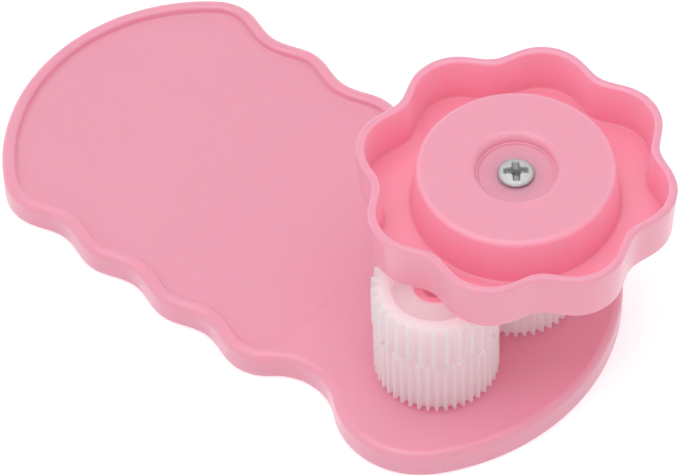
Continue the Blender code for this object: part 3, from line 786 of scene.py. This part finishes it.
def make_screw():
    """The low pan-head screw, with its cross cut by a Boolean."""
    profile = [(0.02, 0.92), (0.8, 0.9), (1.6, 0.82), (2.3, 0.68), (2.75, 0.52), (3.02, 0.36), (3.17, 0.16),
               (3.15, 0.03), (3.09, 0.0), (0.95, 0.0), (0.95, -10.3), (0.02, -12.0)]
    form = bmesh.new()
    add_loft(form, [circle(radius, HEAD_Z + z, even(64)) for radius, z in reversed(profile)],
             cap_start=True, cap_end=True)
    head = finished("screw_head", [form], y=DRIVEN_Y, angle=30.0)
    head.modifiers.clear()
    cutter = bmesh.new()
    for turn in (CROSS_TURN, CROSS_TURN + 90.0):
        made = bmesh.ops.create_cube(cutter, size=1.0)
        for vert in made["verts"]:
            low = vert.co.z < 0
            length, width = CROSS_FLOOR_SIZE if low else CROSS_TOP_SIZE
            vert.co.x *= length
            vert.co.y *= width
            vert.co.z = HEAD_Z + (CROSS_FLOOR if low else CROSS_TOP)
        bmesh.ops.rotate(cutter, verts=made["verts"], cent=(0, 0, 0),
                         matrix=Matrix.Rotation(math.radians(turn), 3, "Z"))
    bmesh.ops.create_cone(cutter, cap_ends=True, segments=12, radius1=0.35, radius2=1.35, depth=2.0,
                          matrix=Matrix.Translation((0.0, 0.0, HEAD_Z + 0.1)))
    cross = finished("cross_cutter", [cutter], y=DRIVEN_Y)
    cross.modifiers.clear()
    slot = head.modifiers.new("Cross", "BOOLEAN")
    slot.operation = "DIFFERENCE"
    slot.solver = "EXACT"
    slot.use_self = True
    slot.object = cross
    bpy.context.view_layer.update()
    solid = bpy.data.meshes.new_from_object(head.evaluated_get(bpy.context.evaluated_depsgraph_get()))
    head.modifiers.clear()
    head.data = solid
    bpy.data.objects.remove(cross, do_unlink=True)
    solid.shade_smooth()
    solid.set_sharp_from_angle(angle=math.radians(30))
    return head


# Materials

def rgb(red, green, blue):
    """A colour as linear light, from its look on screen (0 to 255)."""
    values = [channel / 255 for channel in (red, green, blue)]
    return tuple(v / 12.92 if v <= 0.04045 else ((v + 0.055) / 1.055) ** 2.4 for v in values) + (1.0,)


def new_material(name):
    material = bpy.data.materials.new(name)
    material.use_nodes = True
    return material, Tree(material.node_tree), material.node_tree.nodes["Principled BSDF"].inputs


def noise(tree, scale, detail=2.0):
    place = tree.add("ShaderNodeTexCoord", output="Object")
    sockets = {"Vector": place, "Scale": scale, "Detail": detail}
    return tree.add("ShaderNodeTexNoise", {}, sockets, output="Fac")


def blend(tree, amount, first, second):
    sockets = {"Factor": amount, "A": first, "B": second}
    return tree.add("ShaderNodeMix", {"data_type": "RGBA"}, sockets, output="Result")


def moulded_plastic(name, colour, flow_colour):
    """Injection-moulded plastic: a slow drift of colour where it flowed, and a fine satin skin.

    The glow is painted light: an emission that stands in for light that has come through the thin walls,
    most on the faces that look down and where the mesh says that light gathers."""
    material, tree, shader = new_material(name)
    flow = noise(tree, 45.0, 3.0)
    skin = noise(tree, 900.0)
    # The base colour turns a greyer pink on the recess floor near the screw's axis
    greyed = tree.add("ShaderNodeAttribute", {"attribute_name": "greyer_near_screw_axis"}, output="Fac")
    tree.put(shader["Base Color"], blend(tree, greyed, blend(tree, flow, colour, flow_colour), RECESS_GREY))
    tree.put(shader["Roughness"], PLASTIC_ROUGHNESS + 0.1 * (skin - 0.5))
    height = noise(tree, 1400.0) * 0.7 + flow * 0.3
    tree.put(shader["Normal"], tree.add("ShaderNodeBump", {}, {"Height": height, "Distance": 0.000004}))
    shader["Coat Weight"].default_value = 0.5
    shader["Coat Roughness"].default_value = 0.18
    shader["Subsurface Weight"].default_value = 1.0
    shader["Subsurface Radius"].default_value = PLASTIC_DEPTH
    shader["Subsurface Scale"].default_value = 1.0
    # Painted glow: emission on downward faces and where the gathered_light share is set, in place of light
    # through the walls
    up = tree.parts(tree.add("ShaderNodeNewGeometry", output="Normal"))[2]
    down = up.math("MAXIMUM", up * -1.0, 0.0)
    glow = blend(tree, down, INNER_GLOW, UNDER_GLOW)
    gathered = tree.add("ShaderNodeAttribute", {"attribute_name": "gathered_light"}, output="Fac")
    tree.put(shader["Emission Color"], blend(tree, gathered, glow, CHANNEL_GLOW))
    shader["Emission Strength"].default_value = 1.0
    return material


def clear_nylon(name, top_colour, foot_colour):
    """Unfilled nylon: milky, with painted pink light towards the handle, and a painted glow from inside,
    strongest between the teeth, which softens its teeth.
    """
    material, tree, shader = new_material(name)
    x, y, z = tree.parts(tree.add("ShaderNodeTexCoord", output="Object"))
    flow = noise(tree, 120.0, 3.0)
    # Painted light: the colour turns pinker towards the foot, standing in for pink light from the handle
    lift = (z / MM - FINE_Z) / (COARSE_TOP - FINE_Z) + 0.1 * (flow - 0.5)
    rise = lift.math("SMOOTH_MIN", lift.math("MAXIMUM", lift, 0.0), 1.0, 0.2)
    tree.put(shader["Base Color"], blend(tree, rise, foot_colour, top_colour))
    tree.put(shader["Roughness"], 0.42 + 0.1 * noise(tree, 700.0))
    far = y.math("GREATER_THAN", y / MM - SHIFT[1], (IDLER_Y + DRIVEN_Y) / 2)
    aside = y / MM - SHIFT[1] - IDLER_Y - far * (DRIVEN_Y - IDLER_Y)
    spoke = tree.add("ShaderNodeCombineXYZ", {}, {"X": x / MM - SHIFT[0], "Y": aside})
    radius = tree.add("ShaderNodeVectorMath", {"operation": "LENGTH"}, {0: spoke}, output="Value")
    # Painted glow: emission strongest at the tooth roots, filling the shade between the teeth
    depth = (FINE_TIP_R - radius) / (FINE_TIP_R - FINE_ROOT_R)
    depth = depth.math("MINIMUM", depth.math("MAXIMUM", depth, 0.0), 1.0)
    tree.put(shader["Emission Color"], blend(tree, depth, TOOTH_TIP_GLOW, TOOTH_ROOT_GLOW))
    shader["Emission Strength"].default_value = 1.0
    outwards = tree.add("ShaderNodeVectorMath", {"operation": "NORMALIZE"}, {0: spoke})
    outwards = tree.add("ShaderNodeVectorTransform", {
        "vector_type": "VECTOR", "convert_from": "OBJECT", "convert_to": "WORLD"}, {"Vector": outwards})
    plain = tree.add("ShaderNodeNewGeometry", output="Normal")
    along = tree.add("ShaderNodeVectorMath", {"operation": "DOT_PRODUCT"}, {0: plain, 1: outwards},
                     output="Value")
    side = along.math("GREATER_THAN", along, 0.15) * TOOTH_SOFTNESS
    soft = tree.add("ShaderNodeMix", {"data_type": "VECTOR"}, {"Factor": side, "A": plain, "B": outwards},
                    output="Result")
    soft = tree.add("ShaderNodeVectorMath", {"operation": "NORMALIZE"}, {0: soft})
    tree.put(shader["Normal"], tree.add("ShaderNodeBump", {}, {
        "Height": noise(tree, 1400.0), "Distance": 0.000004, "Normal": soft}))
    shader["Subsurface Weight"].default_value = 1.0
    shader["Subsurface Radius"].default_value = NYLON_DEPTH
    shader["Subsurface Scale"].default_value = 1.0
    return material


def plated_steel(name):
    """Bright nickel plate over a tumbled, finely pitted surface, with painted shade down in the cross."""
    material, tree, shader = new_material(name)
    x, y, z = tree.parts(tree.add("ShaderNodeTexCoord", output="Object"))
    across = x / MM - SHIFT[0]
    aside = y / MM - SHIFT[1] - DRIVEN_Y
    # Painted shade: below the crown the colour darkens towards the floor of the cross
    crown = CROWN_H - CROWN_FALL * (across * across + aside * aside)
    deep = (crown - (z / MM - HEAD_Z)) * 3.0
    deep = deep.math("MINIMUM", deep.math("MAXIMUM", deep, 0.0), 1.0)
    grain = noise(tree, 3600.0, 3.0)
    plate = blend(tree, grain, rgb(172, 174, 173), rgb(216, 217, 215))
    shade = blend(tree, grain, rgb(90, 92, 91), rgb(200, 202, 201))
    tree.put(shader["Base Color"], blend(tree, deep, plate, shade))
    tree.put(shader["Roughness"], 0.5 + 0.2 * grain)
    tree.put(shader["Normal"], tree.add("ShaderNodeBump", {}, {"Height": grain, "Distance": 0.00012}))
    shader["Metallic"].default_value = 1.0
    return material


# The greyer pink of the recess floor near the screw's axis
RECESS_GREY = rgb(220, 156, 179)
handle_plastic = moulded_plastic("handle_plastic", rgb(244, 167, 190), rgb(242, 164, 187))
knob_plastic = moulded_plastic("knob_plastic", rgb(250, 168, 191), rgb(249, 165, 188))
# Whiter top colour, and a foot colour with painted pink light from the handle
white_nylon = clear_nylon("white_nylon", rgb(240, 220, 224), rgb(236, 203, 209))
nickel_plate = plated_steel("nickel_plate")


# Pieces

def place(piece, node, body, material, slot):
    """Gives a piece its material and lets it stand for a node of the solids."""
    piece.data.materials.clear()
    piece.data.materials.append(material)
    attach(piece, body)
    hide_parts(node)


FINE = (FINE_TEETH, FINE_TIP_R, FINE_ROOT_R, FINE_TIP_W, FINE_ROOT_W)
COARSE = (COARSE_TEETH, COARSE_TIP_R, COARSE_ROOT_R, COARSE_TIP_W, COARSE_ROOT_W)
FINE_SPAN = (FINE_Z, FINE_TOP)
COARSE_SPAN = (COARSE_Z, COARSE_TOP)
FINE_MATED = 180.0 / FINE_TEETH - FINE_GAP_ANGLE
COARSE_MATED = 180.0 / COARSE_TEETH - COARSE_GAP_ANGLE
place(make_handle(handle_plastic), "base_handle", "base", handle_plastic, "pink_gloss_plastic")
place(make_knob(knob_plastic), "hand_knob", "driven_rollers", knob_plastic, "pink_gloss_plastic")
place(make_screw(), "knob_screw", "base", nickel_plate, "nickel_plated_steel")
place(make_roller("idler_fine_teeth", white_nylon, FINE, FINE_SPAN, FINE_GAP_ANGLE, IDLER_Y, True),
      "idler_fine_gear", "idler_fine_roller", white_nylon, "white_nylon")
place(make_roller("idler_coarse_teeth", white_nylon, COARSE, COARSE_SPAN, COARSE_GAP_ANGLE, IDLER_Y, True,
                  hub_dish(True)),
      "idler_coarse_gear", "idler_coarse_roller", white_nylon, "white_nylon")
place(make_roller("driven_fine_teeth", white_nylon, FINE, FINE_SPAN, FINE_MATED, DRIVEN_Y, False),
      "driven_fine_gear", "driven_rollers", white_nylon, "white_nylon")
place(make_roller("driven_coarse_teeth", white_nylon, COARSE, COARSE_SPAN, COARSE_MATED, DRIVEN_Y, False,
                  hub_dish(False)),
      "driven_coarse_gear", "driven_rollers", white_nylon, "white_nylon")


# Floor, light and camera

def seen_white(tree):
    """1 where the camera, a reflection or a refraction looks at it, 0 where it lights the object."""
    path = tree.tree.nodes.new("ShaderNodeLightPath")
    rays = ("Is Camera Ray", "Is Glossy Ray", "Is Transmission Ray")
    return sum(Wire(tree, path.outputs[ray]) for ray in rays)


def make_floor():
    """A plain pale floor, lifted to the photograph's white for the camera and in reflections."""
    size = 3.0
    z = -0.0003
    mesh = bpy.data.meshes.new("floor")
    corners = [(-size, -size, z), (size, -size, z), (size, size, z), (-size, size, z)]
    mesh.from_pydata(corners, [], [(0, 1, 2, 3)])
    item = bpy.data.objects.new("floor", mesh)
    bpy.context.scene.collection.objects.link(item)
    material, tree, shader = new_material("floor_white")
    shader["Base Color"].default_value = (0.9, 0.9, 0.9, 1.0)
    shader["Roughness"].default_value = 0.9
    shader["Specular IOR Level"].default_value = 0.1
    shader["Emission Color"].default_value = (1.0, 1.0, 1.0, 1.0)
    tree.put(shader["Emission Strength"], seen_white(tree) * FLOOR_GLOW)
    mesh.materials.append(material)


def make_world():
    world = bpy.data.worlds.new("studio")
    bpy.context.scene.world = world
    world.use_nodes = True
    tree = Tree(world.node_tree)
    background = world.node_tree.nodes["Background"]
    background.inputs["Color"].default_value = (1.0, 1.0, 1.0, 1.0)
    tree.put(background.inputs["Strength"], WORLD_LEVEL + (1.0 - WORLD_LEVEL) * seen_white(tree))


def add_light(name, spot, size, power):
    lamp = bpy.data.lights.new(name, "AREA")
    lamp.shape = "DISK"
    lamp.size = size
    lamp.energy = power
    item = bpy.data.objects.new(name, lamp)
    bpy.context.scene.collection.objects.link(item)
    item.location = spot
    item.rotation_euler = (-Vector(spot)).to_track_quat("-Z", "Y").to_euler()


def make_camera():
    azimuth = math.radians(CAM_AZIMUTH)
    elevation = math.radians(CAM_ELEVATION)
    roll = math.radians(CAM_ROLL)
    back = Vector((math.sin(azimuth) * math.cos(elevation), -math.cos(azimuth) * math.cos(elevation),
                   math.sin(elevation)))
    right = Vector((math.cos(azimuth), math.sin(azimuth), 0.0))
    up = back.cross(right)
    across = right * math.cos(roll) + up * math.sin(roll)
    over = up * math.cos(roll) - right * math.sin(roll)
    camera = bpy.data.cameras.new("camera")
    camera.sensor_width = 36.0
    camera.lens = CAM_LENS
    camera.clip_start = 0.05
    item = bpy.data.objects.new("camera", camera)
    bpy.context.scene.collection.objects.link(item)
    spot = Vector(CAM_TARGET) * MM + back * CAM_DISTANCE * MM
    item.matrix_world = Matrix(((across.x, over.x, back.x, spot.x), (across.y, over.y, back.y, spot.y),
                                (across.z, over.z, back.z, spot.z), (0.0, 0.0, 0.0, 1.0)))
    bpy.context.scene.camera = item


make_floor()
make_world()
add_light("overhead", (0.0, 0.0, 1.2), 1.0, 3.4)
add_light("key", (-0.25, -0.75, 1.3), 0.9, 2.2)
make_camera()
bpy.context.scene.view_settings.view_transform = "Standard"
